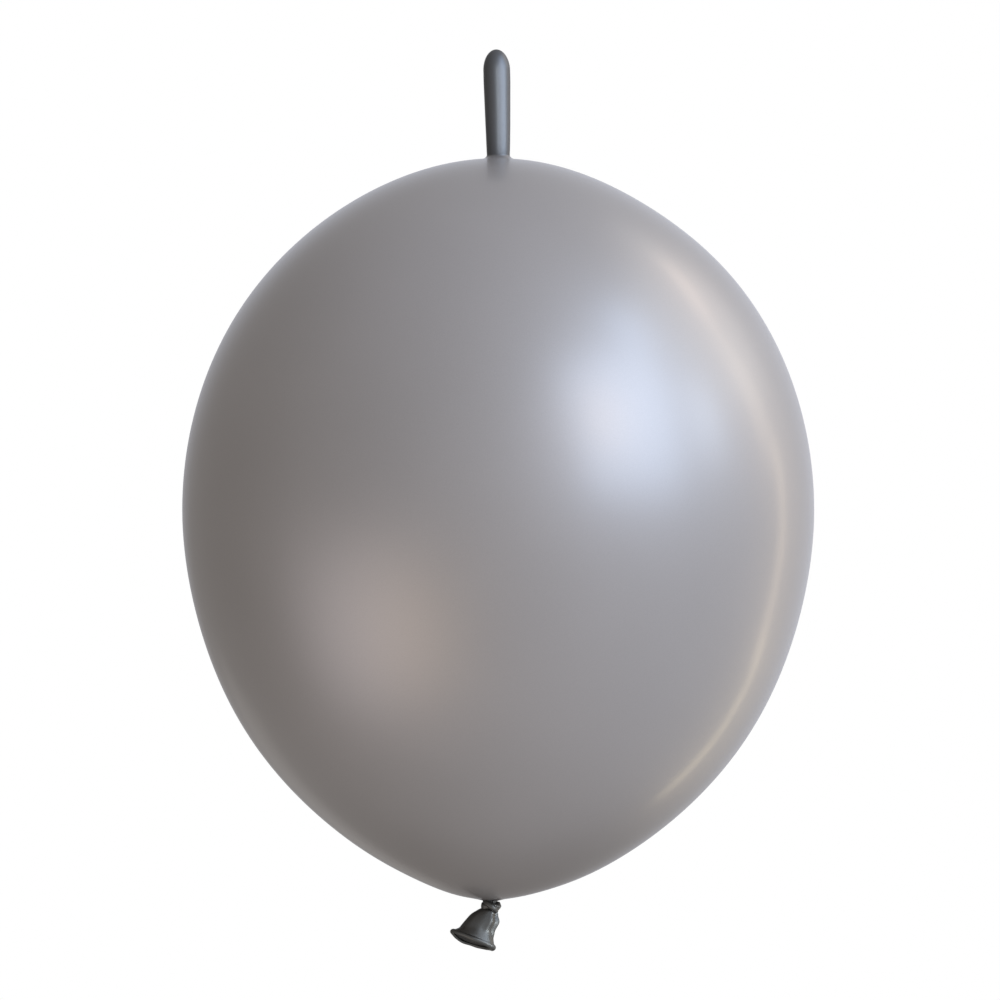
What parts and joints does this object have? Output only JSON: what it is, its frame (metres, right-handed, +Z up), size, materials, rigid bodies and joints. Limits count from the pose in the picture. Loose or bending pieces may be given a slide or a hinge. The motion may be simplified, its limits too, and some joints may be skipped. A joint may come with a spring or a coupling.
{
  "type": "link latex balloon",
  "caption": "Blown-up pearl silver latex balloon with a closed finger-shaped tail on top for linking and a tied, flared neck with a rolled lip below.",
  "frame": {"origin": "centre of the envelope's widest circle, where the floating balloon is held", "axes": "+Z up along the balloon's axis, towards the tail; +X to the viewer's right; the viewer looks along +Y"},
  "size_m": [0.28, 0.28, 0.3996],
  "materials": {
    "pearl_film": "stretched pearl silver latex, fine grain, broad soft gloss",
    "pearl_latex": "lightly stretched pearl latex, darker grey, satin",
    "dark_latex": "unstretched pearl latex, dark grey, satin, pleated"
  },
  "bodies": {
    "balloon": {"envelope": "pearl_film", "tail_collar": "pearl_film", "knot_core": "dark_latex", "knot_loop": "dark_latex"},
    "tail": {"tail": "pearl_latex"},
    "neck": {"neck_skirt": "dark_latex", "lip_bead": "dark_latex"}
  },
  "joints": [
    {"name": "tail_bend", "type": "hinge", "parent": "balloon", "child": "tail", "pos_m": [0, 0, 0.1607], "axis": [0, 1, 0], "range_deg": [-60, 60], "stiffness_Nm_per_rad": 0.01},
    {"name": "neck_swing", "type": "hinge", "parent": "balloon", "child": "neck", "pos_m": [-0.0033, 0, -0.1752], "axis": [0, 1, 0], "range_deg": [-75, 25], "stiffness_Nm_per_rad": 0.01}
  ]
}
